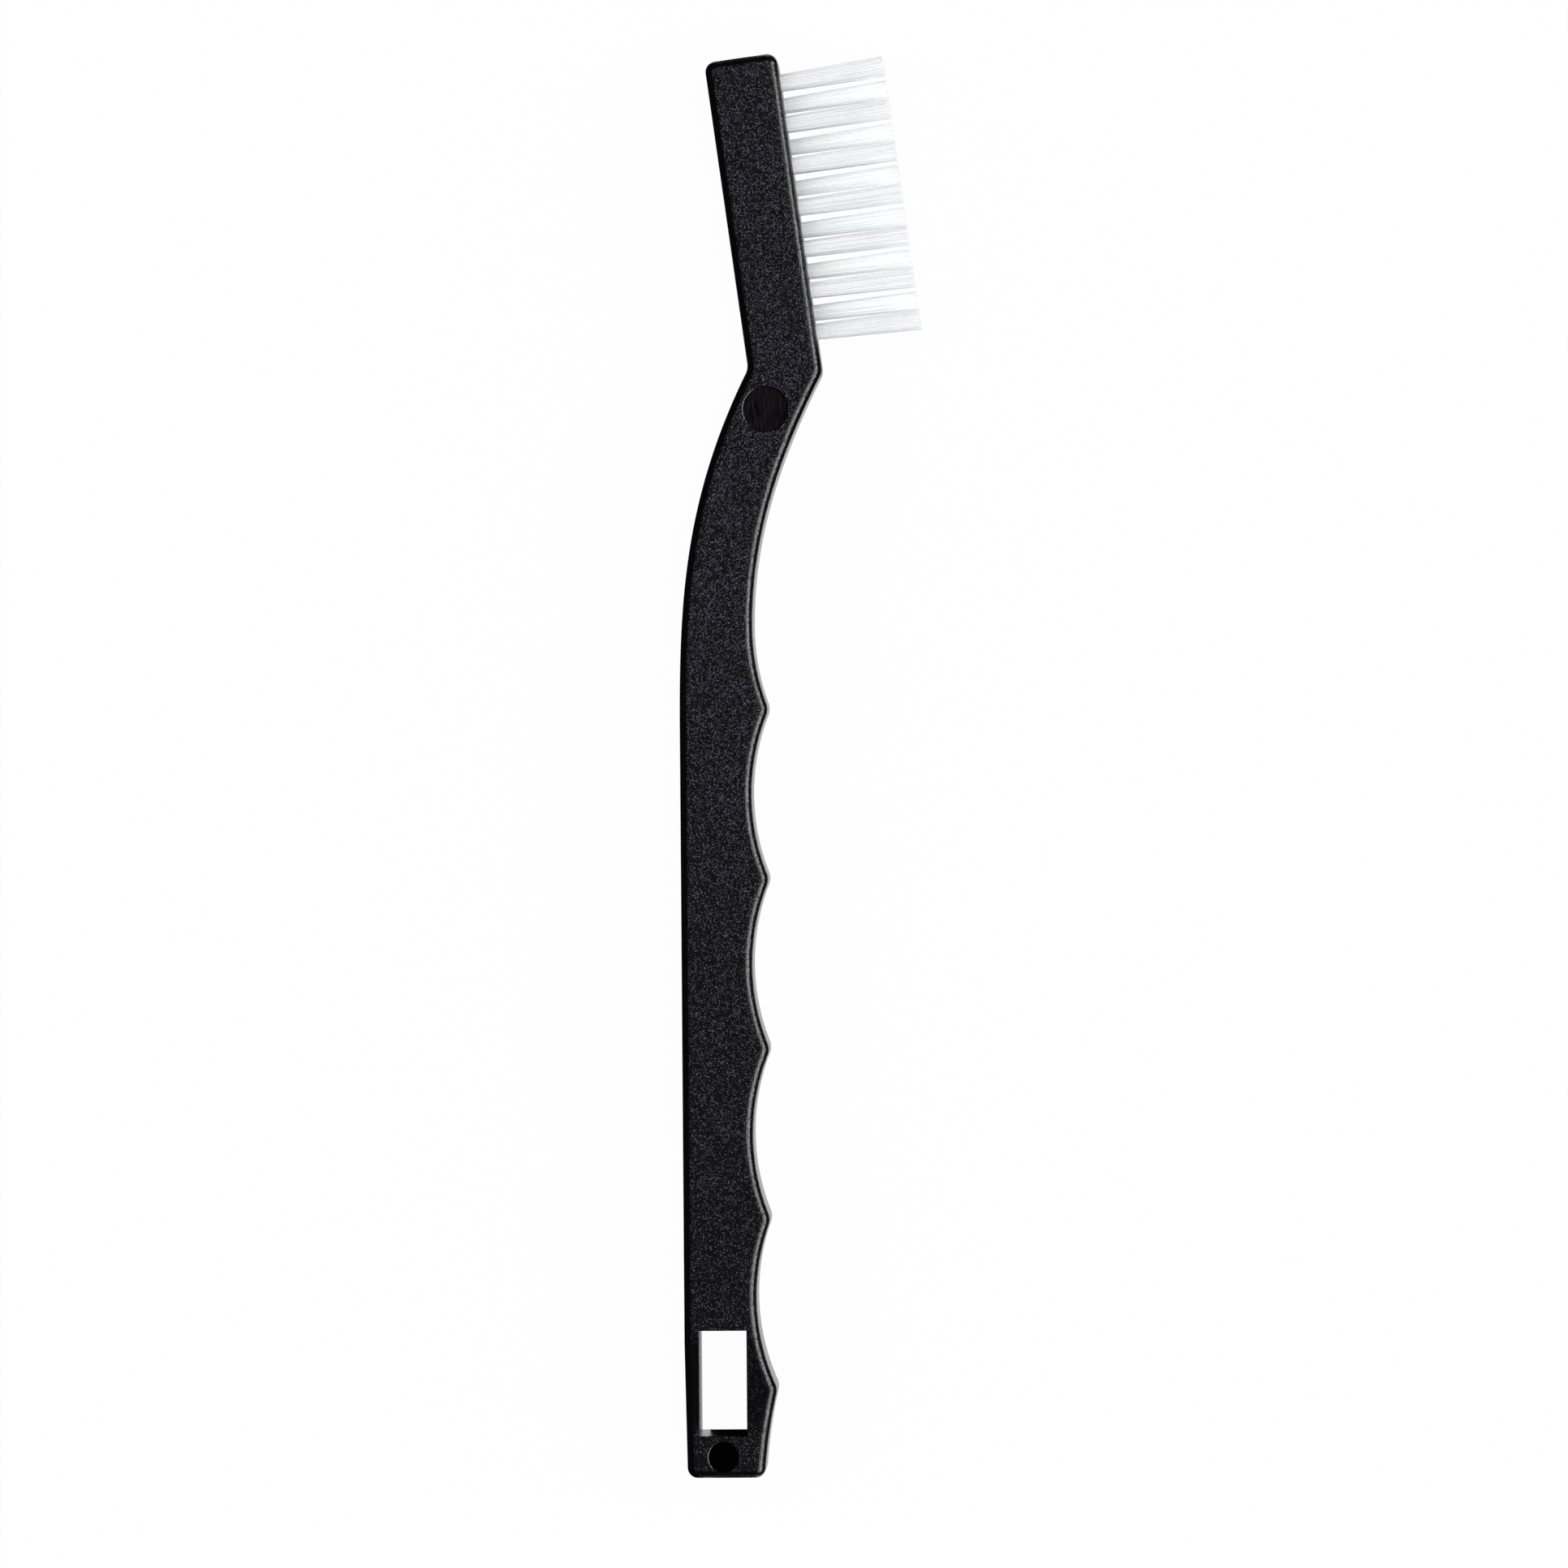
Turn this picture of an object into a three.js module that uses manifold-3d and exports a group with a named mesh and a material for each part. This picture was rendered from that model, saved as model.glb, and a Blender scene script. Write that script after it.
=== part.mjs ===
// Instrument cleaning brush: a cranked plastic handle with a scalloped finger grip and a hanging slot, and a
// head that holds three staggered rows of nylon tufts, each folded over a flat metal anchor in its hole.
// Millimetres, +Z up. The brush lies on its side: +Y runs along the grip towards the head, and +X points
// the way that the bristles do. The origin is under the middle of the brush.

import * as THREE from "three";
import { mergeGeometries, mergeVertices } from "three/addons/utils/BufferGeometryUtils.js";
import Module from "manifold-3d";

const wasm = await Module();
wasm.setup();

// Tuft layout on the head: the middle and the low row start this much further from the heel than the high one
const tuftsInOuterRow = 7;
const tuftPitch = 5.4;
const rowSpacing = 2.5;
const middleRowStart = 2.52;
const lowRowStart = 0.15;
const tuftDiameter = 2.0;

// Bristles: the trim is their length above the head, and the tufts fan out a little along the head
const trimLength = 13.5;
const tipFlare = 0.25;
const leanAtTip = THREE.MathUtils.degToRad(1.2);
const leanAtHeel = THREE.MathUtils.degToRad(-1.9);
const strandRings = 2;
const strandGap = 0.06;
const strandRootDepth = 0.2;

// How the tufts sit in the head: each goes down its hole and round its anchor, and a slice of the head,
// below the surface, joins the tufts of a row
const tuftClearance = 0.1;
const sliceCover = 1.0;
const sliceThickness = 0.9;
const sliceWidth = 1.2;
const anchorBite = 0.4;
const anchorHeight = 1.4;
const anchorThickness = 0.35;
const anchorClearance = 0.1;
const anchorCover = 0.6;
const foldThickness = 0.6;

// Head
const headDepth = 9.4;
const headTilt = THREE.MathUtils.degToRad(7.74);
const heelMargin = 3.6;
const tipMargin = 3.85;
const heelDrop = 1.75;
const holeRim = 0.6;

// Neck, from the waist in front of the grip up to the bend under the head
const neckLength = 33.3;
const neckOffset = 9.17;
const neckAngle = THREE.MathUtils.degToRad(27);
const neckFrontEase = 12;
const neckBackLength = 48.3;
const neckBackEaseAtGrip = 16.5;
const neckBackEaseAtHead = 19.6;

// Grip: depths are measured from its straight back, and each ridge stands out a little more than the one
// below it
const ridgeCount = 5;
const ridgePitch = 21.95;
const ridgeDepth = 11.35;
const ridgeGrowth = 0.07;
const scallopRadius = 28;
const waistReach = 10.7;
const waistDepth = 9.53;

// Tail
const tailRidgeHeight = 11.5;
const tailRidgeDepth = 12.05;
const tailDepth = 10.35;
const tailHollowRadius = 64;
const tailTaperLength = 17.4;
const tailTaperInset = 0.32;

// Hanging slot
const slotLength = 13.6;
const slotTailWeb = 5.5;
const slotBackWeb = 1.9;
const slotFrontWeb = 1.4;

// Round marks that the ejector pins leave in the upper side
const neckMarkDiameter = 5.8;
const neckMarkSetback = 5.6;
const tailMarkDiameter = 3.9;
const markDepth = 0.4;

// Rounding: every outer corner is rounder than the edges of the two sides
const edgeRadius = 1.3;
const cornerEase = 0.2;
const ridgeEase = 0.8;
const backBendRadius = 2.3;

// Facet counts
const holeSides = 12;
const markSides = 32;
const edgeSteps = 3;
const cornerSteps = 4;
const scallopSteps = 10;
const neckSteps = 12;
const cutOverrun = 1;

// Sizes that follow from those above
const tuftRadius = tuftDiameter / 2;
const holeRadius = tuftRadius + tuftClearance;
const anchorWidth = 2 * (holeRadius + anchorBite);
const anchorTop = sliceCover + sliceThickness + anchorCover;
const tuftDepth = anchorTop + anchorHeight + foldThickness;
const thickness = 2 * (rowSpacing + holeRadius + holeRim + edgeRadius);
const headLength = heelMargin + (tuftsInOuterRow - 1) * tuftPitch + tipMargin;
const cornerRadius = edgeRadius + cornerEase;
const ridgeRadius = edgeRadius + ridgeEase;
const middle = thickness / 2;

// Ridges of the finger grip, from the tail upwards
const ridges = [new THREE.Vector2(tailRidgeDepth, tailRidgeHeight)];
for (let index = 1; index < ridgeCount; index += 1) {
  const depth = ridgeDepth + (index - 1) * ridgeGrowth;
  ridges.push(new THREE.Vector2(depth, tailRidgeHeight + index * ridgePitch));
}
const topRidge = ridges.at(-1);
const waist = new THREE.Vector2(waistDepth, topRidge.y + waistReach);
const bendHeight = waist.y + neckLength;

const alongHead = new THREE.Vector2(-Math.sin(headTilt), Math.cos(headTilt));
const outOfHead = new THREE.Vector2(Math.cos(headTilt), Math.sin(headTilt));
const alongNeck = new THREE.Vector2(Math.sin(neckAngle), Math.cos(neckAngle));
const backBend = new THREE.Vector2(neckOffset, bendHeight);
const faceFoot = backBend.clone().addScaledVector(outOfHead, headDepth);
const frontBend = faceFoot.clone().addScaledVector(alongHead, -heelDrop);

// The head's own frame: its origin is at the foot of the bristle face, X points out along the bristles,
// and Y runs along the face to the tip
const headFrame = new THREE.Matrix4().makeRotationZ(headTilt).setPosition(faceFoot.x, faceFoot.y, 0);

const handlePlastic = new THREE.MeshStandardMaterial({ color: 0x232226, roughness: 0.55, metalness: 0 });
const nylon = new THREE.MeshStandardMaterial({ color: 0xf0f0f3, roughness: 0.4, metalness: 0 });
const anchorMetal = new THREE.MeshStandardMaterial({ color: 0xb9b6ad, roughness: 0.35, metalness: 1 });

// Closed geometry to a solid that can be joined and cut
function toSolid(geometry) {
  const bare = new THREE.BufferGeometry();
  bare.setAttribute("position", geometry.getAttribute("position"));
  bare.setIndex(geometry.getIndex());
  const merged = mergeVertices(bare);
  const vertProperties = new Float32Array(merged.getAttribute("position").array);
  const triVerts = new Uint32Array(merged.getIndex().array);
  return new wasm.Manifold(new wasm.Mesh({ numProp: 3, vertProperties, triVerts }));
}

// Solid back to a geometry for a mesh
function toGeometry(solid) {
  const { vertProperties, triVerts } = solid.getMesh();
  const geometry = new THREE.BufferGeometry();
  geometry.setAttribute("position", new THREE.BufferAttribute(vertProperties, 3));
  geometry.setIndex(new THREE.BufferAttribute(triVerts, 1));
  geometry.computeVertexNormals();
  return geometry;
}

// Box between two corners
function boxBetween(low, high) {
  const [width, length, height] = high.map((value, axis) => value - low[axis]);
  const [x, y, z] = high.map((value, axis) => (value + low[axis]) / 2);
  return new THREE.BoxGeometry(width, length, height).translate(x, y, z);
}

// Points inside an arc of the given radius that runs from start to end and hollows towards -X
function hollow(start, end, radius, steps) {
  const chord = end.clone().sub(start);
  const reach = Math.sqrt(radius ** 2 - chord.lengthSq() / 4);
  const across = new THREE.Vector2(chord.y, -chord.x).normalize();
  const centre = start.clone().add(end).multiplyScalar(0.5).addScaledVector(across, reach);
  const sweep = 2 * Math.asin(chord.length() / (2 * radius));
  const points = [];
  for (let step = 1; step < steps; step += 1) {
    points.push(start.clone().rotateAround(centre, (-sweep * step) / steps));
  }
  return points;
}

// Points inside a smooth curve that leaves and arrives along the given directions
function ease(start, startPull, end, endPull, steps) {
  const leaving = start.clone().add(startPull);
  const arriving = end.clone().sub(endPull);
  return new THREE.CubicBezierCurve(start, leaving, arriving, end).getPoints(steps).slice(1, -1);
}

// Arc that rounds a corner between two neighbouring points
function roundCorner(before, corner, after, radius) {
  const back = before.clone().sub(corner).normalize();
  const onward = after.clone().sub(corner).normalize();
  const half = Math.acos(back.dot(onward)) / 2;
  const start = corner.clone().addScaledVector(back, radius / Math.tan(half));
  const centre = back.clone().add(onward).setLength(radius / Math.sin(half)).add(corner);
  const turn = Math.sign(onward.cross(back)) * (Math.PI - 2 * half);
  const points = [];
  for (let step = 0; step <= cornerSteps; step += 1) {
    points.push(start.clone().rotateAround(centre, (turn * step) / cornerSteps));
  }
  return points;
}

const corner = (point, radius) => ({ point, radius });
const smooth = (points) => points.map((point) => ({ point }));

// Side view of the handle, anticlockwise from the back of the tail
function handleOutline() {
  const tailBack = new THREE.Vector2(tailTaperInset, 0);
  const tailFront = new THREE.Vector2(tailDepth, 0);
  const tipFront = faceFoot.clone().addScaledVector(alongHead, headLength);
  const tipBack = backBend.clone().addScaledVector(alongHead, headLength);
  const gripTop = new THREE.Vector2(0, bendHeight - neckBackLength);
  const taperTop = new THREE.Vector2(0, tailTaperLength);
  const up = new THREE.Vector2(0, 1);

  const waistPull = up.clone().setLength(neckFrontEase);
  const frontPull = alongNeck.clone().setLength(neckFrontEase);
  const backPull = alongNeck.clone().setLength(-neckBackEaseAtHead);
  const gripPull = up.clone().setLength(-neckBackEaseAtGrip);
  const entryRise = topRidge.x - waistDepth;
  const entryRadius = (waistReach ** 2 + entryRise ** 2) / (2 * entryRise);

  const stations = [corner(tailBack, cornerRadius), corner(tailFront, cornerRadius)];
  stations.push(...smooth(hollow(tailFront, ridges[0], tailHollowRadius, cornerSteps)));
  ridges.forEach((ridge, index) => {
    const next = ridges[index + 1];
    stations.push(corner(ridge, ridgeRadius));
    if (next) stations.push(...smooth(hollow(ridge, next, scallopRadius, scallopSteps)));
  });
  stations.push(...smooth(hollow(topRidge, waist, entryRadius, cornerSteps)), ...smooth([waist]));
  stations.push(...smooth(ease(waist, waistPull, frontBend, frontPull, neckSteps)));
  stations.push(corner(frontBend, ridgeRadius));
  stations.push(corner(tipFront, cornerRadius), corner(tipBack, cornerRadius));
  stations.push(corner(backBend, backBendRadius));
  stations.push(...smooth(ease(backBend, backPull, gripTop, gripPull, neckSteps)));
  stations.push(...smooth([gripTop, taperTop]));

  return stations.flatMap(({ point, radius }, index) => {
    if (!radius) return [point];
    const before = stations.at(index - 1).point;
    const after = stations[(index + 1) % stations.length].point;
    return roundCorner(before, point, after, radius);
  });
}

function handleBlank() {
  const shape = new THREE.Shape(handleOutline());
  const blank = new THREE.ExtrudeGeometry(shape, {
    depth: thickness - 2 * edgeRadius,
    bevelThickness: edgeRadius,
    bevelSize: edgeRadius,
    bevelOffset: -edgeRadius,
    bevelSegments: edgeSteps,
  });
  return blank.translate(0, 0, edgeRadius);
}

// The slot keeps a web to the back, to the tail end and to the deepest point of the tail scallop
function slotBounds() {
  const tailScallop = hollow(ridges[0], ridges[1], scallopRadius, scallopSteps);
  const valley = Math.min(...tailScallop.map((point) => point.x));
  const front = valley - slotFrontWeb;
  return { back: slotBackWeb, front, tail: slotTailWeb, top: slotTailWeb + slotLength };
}

function slotCutter() {
  const { back, front, tail, top } = slotBounds();
  return boxBetween([back, tail, -cutOverrun], [front, top, thickness + cutOverrun]);
}

function markCutter(centre, diameter) {
  const depth = markDepth + cutOverrun;
  const disc = new THREE.CylinderGeometry(diameter / 2, diameter / 2, depth, markSides);
  disc.rotateX(Math.PI / 2);
  return disc.translate(centre.x, centre.y, thickness - markDepth + depth / 2);
}

function markCutters() {
  const { back, front, tail } = slotBounds();
  const bendMiddle = backBend.clone().add(frontBend).multiplyScalar(0.5);
  const neckCentre = bendMiddle.addScaledVector(alongNeck, -neckMarkSetback);
  const tailCentre = new THREE.Vector2((back + front) / 2, tail / 2);
  return [markCutter(neckCentre, neckMarkDiameter), markCutter(tailCentre, tailMarkDiameter)];
}

// Rows of tufts, in the head's frame: the tufts of the middle row, one fewer, sit between those of the others
function tuftRow(name, side, start, count) {
  const places = Array.from({ length: count }, (_, index) => heelMargin + start + index * tuftPitch);
  return { name, places, height: middle + side * rowSpacing };
}

const rows = [
  tuftRow("low", -1, lowRowStart, tuftsInOuterRow),
  tuftRow("mid", 0, middleRowStart, tuftsInOuterRow - 1),
  tuftRow("high", 1, 0, tuftsInOuterRow),
];

// Round bar that goes down into the head from the bristle face
function bar(radius, depth, top, place, height) {
  const cylinder = new THREE.CylinderGeometry(radius, radius, depth + top, holeSides);
  cylinder.rotateZ(-Math.PI / 2);
  return cylinder.translate((top - depth) / 2, place, height);
}

// Slice of the head that joins the tufts of one row, grown all round by a clearance
function slice({ places, height }, growth) {
  const half = sliceWidth / 2 + growth;
  const low = [-sliceCover - sliceThickness - growth, places[0], height - half];
  const high = [-sliceCover + growth, places.at(-1), height + half];
  return boxBetween(low, high);
}

function anchorBlock(growth) {
  const width = anchorWidth + 2 * growth;
  return new THREE.BoxGeometry(anchorHeight + 2 * growth, width, anchorThickness + 2 * growth);
}

function anchorPlace(place, height) {
  return new THREE.Vector3(-anchorTop - anchorHeight / 2, place, height);
}

function headCutters() {
  const cutters = [];
  for (const row of rows) {
    cutters.push(slice(row, tuftClearance));
    for (const place of row.places) {
      const seat = anchorPlace(place, row.height);
      cutters.push(bar(holeRadius, tuftDepth + tuftClearance, cutOverrun, place, row.height));
      cutters.push(anchorBlock(anchorClearance).translate(seat.x, seat.y, seat.z));
    }
  }
  return cutters.map((cutter) => cutter.applyMatrix4(headFrame));
}

function makeHandle() {
  const cutters = [slotCutter(), ...markCutters(), ...headCutters()];
  const solid = cutters.reduce((body, cutter) => body.subtract(toSolid(cutter)), toSolid(handleBlank()));
  const handle = new THREE.Mesh(toGeometry(solid), handlePlastic);
  handle.name = "handle";
  return handle;
}

// Places of the strands across a tuft: one in the middle and rings of six, twelve and so on round it
function strandPlaces() {
  const ringStep = tuftDiameter / (2 * strandRings + 1);
  const places = [{ out: 0, angle: 0 }];
  for (let ring = 1; ring <= strandRings; ring += 1) {
    const around = 6 * ring;
    for (let index = 0; index < around; index += 1) {
      places.push({ out: ring / strandRings, angle: (2 * Math.PI * index) / around });
    }
  }
  return { places, ringRadius: ringStep * strandRings, strandRadius: (ringStep - strandGap) / 2 };
}

// One straight strand of three sides between two points
function strand(root, tip, radius) {
  const points = [];
  for (const end of [root, tip]) {
    for (let index = 0; index < 3; index += 1) {
      const angle = (2 * Math.PI * index) / 3;
      points.push(end.x, end.y + radius * Math.cos(angle), end.z + radius * Math.sin(angle));
    }
  }
  const geometry = new THREE.BufferGeometry();
  geometry.setAttribute("position", new THREE.Float32BufferAttribute(points, 3));
  geometry.setIndex([0, 2, 1, 3, 4, 5, 0, 1, 4, 0, 4, 3, 1, 2, 5, 1, 5, 4, 2, 0, 3, 2, 3, 5]);
  return geometry;
}

// Strands of one tuft, which flare towards their tips and lean with their place along the head
function tuftStrands(place, height) {
  const { places, ringRadius, strandRadius } = strandPlaces();
  const share = (place - heelMargin) / ((tuftsInOuterRow - 1) * tuftPitch);
  const drift = trimLength * Math.tan(THREE.MathUtils.lerp(leanAtHeel, leanAtTip, share));
  return places.map(({ out, angle }) => {
    const across = new THREE.Vector3(0, Math.cos(angle), Math.sin(angle)).multiplyScalar(out);
    const root = new THREE.Vector3(-strandRootDepth, place, height).addScaledVector(across, ringRadius);
    const tip = new THREE.Vector3(trimLength, place + drift, height);
    tip.addScaledVector(across, ringRadius + tipFlare);
    return strand(root, tip, strandRadius);
  });
}

function makeBristleRow(row) {
  let solid = toSolid(slice(row, 0));
  for (const place of row.places) {
    const seat = anchorPlace(place, row.height);
    const seatCut = anchorBlock(anchorClearance).translate(seat.x, seat.y, seat.z);
    const plug = toSolid(bar(tuftRadius, tuftDepth, 0, place, row.height));
    solid = solid.add(plug.subtract(toSolid(seatCut)));
    solid = solid.add(toSolid(mergeGeometries(tuftStrands(place, row.height))));
  }
  const bristles = new THREE.Mesh(toGeometry(solid), nylon);
  bristles.name = `bristles_row_${row.name}`;
  return bristles;
}

function makeAnchors(row) {
  return row.places.map((place, index) => {
    const anchor = new THREE.Mesh(anchorBlock(0), anchorMetal);
    anchor.name = `anchor_${row.name}_${index + 1}`;
    anchor.position.copy(anchorPlace(place, row.height));
    return anchor;
  });
}

const head = new THREE.Group();
head.applyMatrix4(headFrame);
for (const row of rows) {
  head.add(makeBristleRow(row), ...makeAnchors(row));
}

const brush = new THREE.Group();
brush.name = "instrument_cleaning_brush";
brush.add(makeHandle(), head);

// Move the origin to the middle of the brush's footprint
const box = new THREE.Box3().setFromObject(brush, true);
const centre = box.getCenter(new THREE.Vector3());
brush.position.set(-centre.x, -centre.y, -box.min.z);

export default brush;
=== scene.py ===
# Instrument cleaning brush: a black moulded handle whose two sides have a fine eroded grain, and a head of
# white nylon tufts made of single filaments. It lies on a white floor in soft light from the right.
# Lengths are in millimetres, apart from the sizes of the floor, the lamp and the camera's range, in metres.

import math
import random

import bpy
from mathutils import Euler, Matrix, Vector


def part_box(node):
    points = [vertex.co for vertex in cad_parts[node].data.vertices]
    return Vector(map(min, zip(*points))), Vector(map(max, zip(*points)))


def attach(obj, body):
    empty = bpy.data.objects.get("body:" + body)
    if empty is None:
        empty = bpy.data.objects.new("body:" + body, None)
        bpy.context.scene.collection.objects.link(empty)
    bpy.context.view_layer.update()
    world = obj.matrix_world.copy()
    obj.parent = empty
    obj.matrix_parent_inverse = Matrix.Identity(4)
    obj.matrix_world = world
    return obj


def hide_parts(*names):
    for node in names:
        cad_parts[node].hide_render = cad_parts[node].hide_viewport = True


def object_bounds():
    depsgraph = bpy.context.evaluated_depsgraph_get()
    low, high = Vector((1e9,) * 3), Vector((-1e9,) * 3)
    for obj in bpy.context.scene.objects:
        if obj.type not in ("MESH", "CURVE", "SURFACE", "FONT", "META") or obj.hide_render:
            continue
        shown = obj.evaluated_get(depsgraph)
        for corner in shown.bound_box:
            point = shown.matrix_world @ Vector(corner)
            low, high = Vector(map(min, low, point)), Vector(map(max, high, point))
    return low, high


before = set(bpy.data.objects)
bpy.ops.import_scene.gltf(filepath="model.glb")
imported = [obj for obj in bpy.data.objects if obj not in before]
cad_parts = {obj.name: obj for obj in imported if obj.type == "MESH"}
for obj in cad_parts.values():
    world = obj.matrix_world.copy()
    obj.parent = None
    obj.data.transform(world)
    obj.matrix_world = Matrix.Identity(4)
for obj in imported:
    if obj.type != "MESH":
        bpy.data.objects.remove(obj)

cad_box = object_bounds()
scene = bpy.context.scene

MM = 0.001

# Side view of the handle, from the corner of the grip's straight back and the tail end
RIDGE_COUNT = 5
RIDGE_PITCH = 21.95
RIDGE_DEPTH = 11.35
RIDGE_GROWTH = 0.07
RIDGE_RADIUS = 2.1
SCALLOP_RADIUS = 28.0
WAIST_REACH = 10.7
WAIST_DEPTH = 9.53
TAIL_RIDGE = Vector((12.05, 11.5))
TAIL_DEPTH = 10.35
TAIL_HOLLOW_RADIUS = 64.0
TAIL_TAPER_LENGTH = 17.4
TAIL_TAPER_INSET = 0.32
NECK_LENGTH = 33.3
NECK_OFFSET = 9.17
NECK_ANGLE = math.radians(27)
NECK_FRONT_EASE = 12.0
NECK_BACK_LENGTH = 48.3
NECK_BACK_EASE_AT_GRIP = 16.5
NECK_BACK_EASE_AT_HEAD = 19.6
HEAD_DEPTH = 9.4
HEAD_LENGTH = 39.85
HEEL_DROP = 1.75
CORNER_RADIUS = 1.35
BACK_BEND_RADIUS = 2.3
EDGE_RADIUS = 1.3

# Cuts in the handle
SLOT_BACK = 1.9
SLOT_FRONT = 8.06
SLOT_TAIL = 5.5
SLOT_TOP = 19.1
NECK_MARK_RADIUS = 2.9
NECK_MARK_SETBACK = 5.6
TAIL_MARK_RADIUS = 1.95
MARK_DEPTH = 0.4
MARK_RIM_DEPTH = 0.06
MARK_RIM_WIDTH = 0.1
HOLE_RADIUS = 1.1
HOLE_DEPTH = 4.6
BROKEN_EDGE = 0.08
CUT_OVERRUN = 0.5

# Tufts
ROWS = ("low", "mid", "high")
ANCHOR_DEPTH = 3.2
TRIM_LENGTH = 13.5
TUFT_RADIUS = 1.0
TIP_FLARE = 0.25
LEAN_AT_TIP = math.radians(1.2)
LEAN_AT_HEEL = math.radians(-1.9)
FILAMENTS_PER_TUFT = 160
FILAMENT_RADIUS = 0.09
FILAMENT_ROOT = 2.3
TIP_SCATTER = 0.03
BOW_SCATTER = 0.02
TRIM_SCATTER = 0.04

# Domed end of a filament, as shares of its radius
FILAMENT_TIP_REACH = 0.6
FILAMENT_TIP_RISE = 0.4

# Facet counts, and the angles from which an edge is shaded sharp
EDGE_STEPS = 7
CORNER_STEPS = 8
SCALLOP_STEPS = 20
NECK_STEPS = 36
HOLE_SIDES = 32
MARK_SIDES = 72
FILAMENT_SIDES = 6
FILAMENT_STEPS = 4
HANDLE_SHARP_ANGLE = math.radians(25)
FILAMENT_SHARP_ANGLE = math.radians(60)

# Black plastic
PLASTIC_INDEX = 1.5
PLASTIC_BLACK = (0.0012, 0.0011, 0.0016, 1)
PLASTIC_GREY = (0.0022, 0.0021, 0.0028, 1)
FLOW_SIZE = 9.0

# Grain of the two sides: some cells show pale flecks, glints painted into the colour, fewer towards the
# tail
GRAIN_SIZE = 0.1
PIT_DEPTH = 0.02
PAINTED_GLINT_COLOUR = (0.146, 0.140, 0.184, 1)
PAINTED_GLINT_SHARE = 0.235
PAINTED_GLINT_SHARE_AT_TAIL = 0.1
PAINTED_GLINT_FADE_LENGTH = 110.0
FAINTEST_PAINTED_GLINT = 0.024
FACE_ROUGHNESS = 0.45
SIDE_SHINE = 0.06

# Webs beside the slot, which have fainter painted glints and are smoother; the back web, away from the
# light, gets the fewest, as painted shade
PAINTED_GLINTS_BEHIND_SLOT = 0.05
PAINTED_GLINTS_BEFORE_SLOT = 0.36
WEB_FADE = 2.0
WEB_ROUGHNESS = 0.4

# Skin of the rounded edges and the walls, with limits of how level it is: 1 when flat, 0 when upright
LUMP_SIZE = 0.35
LUMP_DEPTH = 0.06
EDGE_ROUGHNESS = 0.2
WALL_ROUGHNESS = 0.25
EDGE_SHINE = 0.5
PITS_GROW = (0.72, 0.94)
LUMPS_GROW = (0.97, 0.92)
# Where the grain's painted glints fade out on the rounded edges
PAINTED_GLINTS_GROW = (0.925, 0.985)
WALL_TO_EDGE = (0.05, 0.4)

# Ejector marks: the lines that the two ground pins leave, one pin coarse and one polished
PIN_LINE_ANGLE = math.radians(35)
PIN_LINE_WIDTH = 0.12
PIN_LINE_STRETCH = 0.06
PIN_LINE_DEPTH = 0.006
PIN_LINE_STRENGTH = 0.5
PIN_SCORE_RANGE = (0.35, 0.65)
MARK_BLACK = (0.0004, 0.0003, 0.0004, 1)
MARK_SHINE = 0.1
GROUND_COLOUR = (0.0138, 0.0100, 0.0143, 1)
GROUND_ROUGHNESS = (0.3, 0.4)
POLISHED_COLOUR = (0.0008, 0.0007, 0.0008, 1)
POLISHED_ROUGHNESS = (0.1, 0.14)

# Faces of the handle: how level a flat one is, and how near to a mark's depth its floor is
FLAT_LEVEL = 0.999
MARK_FLOOR_TOLERANCE = 0.01

# Nylon
NYLON_INDEX = 1.53
NYLON_SHADE = (0.981, 0.991, 0.998, 1)
NYLON_WHITE = (0.985, 0.994, 0.999, 1)
NYLON_PATCH = 0.5
NYLON_ROUGHNESS = (0.32, 0.45)
NYLON_SHINE = 0.0

# Nickel silver of the anchors
METAL_SHADE = (0.55, 0.53, 0.48, 1)
METAL_BRIGHT = (0.68, 0.66, 0.60, 1)
METAL_ROUGHNESS = (0.28, 0.42)
ROLLING_LINE_WIDTH = 0.08
ROLLING_LINE_STRETCH = 0.05
ROLLING_LINE_DEPTH = 0.004
ROLLING_LINE_STRENGTH = 0.3

# Where most values of a noise lie
NOISE_RANGE = (0.3, 0.7)

# Floor, and the strips of it that the dark cards leave bare, from the same corner as the side view
FLOOR_SIZE = 8.0
FLOOR_GAP = 0.02
FLOOR_GLOW_SEEN = 0.97
PAPER_CLOUD = 40.0
PAPER_SHADE = (0.94, 0.94, 0.94, 1)
PAPER_WHITE = (0.95, 0.95, 0.95, 1)
CARD_BLACK = (0.01, 0.01, 0.01, 1)
BARE_BESIDE_SLOT_WALL = (SLOT_BACK, SLOT_BACK + 1.0)
BARE_BEFORE_GRIP = (9.0, 20.0)

# Light
WHITE = (1, 1, 1, 1)
DOME_OVERHEAD = 1.91
DOME_LEAN = 0.45
DOME_NARROWING = 4.0
DOME_MIRRORED = 0.1
DOME_MIRRORED_FROM = -0.3
KEY_DISTANCE = 0.55
KEY_WIDTH = 0.2
KEY_LENGTH = 0.9
KEY_TILT = math.radians(61)
KEY_TURN = math.radians(-10)
KEY_POWER = 5.0
LIGHT_BOUNCES = 40

# Camera
PHOTO_SIZE = 1932
PIXEL_SIZE = 0.1052
SENSOR = 36.0
VIEW_CENTRE = (13.3, 89.62, 5.5)
VIEW_DISTANCE = 1200.0
VIEW_TILT = math.radians(1.7)
VIEW_ROLL = math.radians(0.434)
VIEW_NOD = math.radians(0.7)
NEAREST_SEEN = 0.05
FURTHEST_SEEN = 50.0

handle_low, handle_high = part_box("handle")
thickness = (handle_high.z - handle_low.z) / MM


def place(x, y, z):
    """Point in the model's frame for millimetres along the handle's own axes."""
    return handle_low + Vector((x, y, z)) * MM


# Head's frame: its axes come from the anchors, which lie in straight rows under the bristle face

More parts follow.
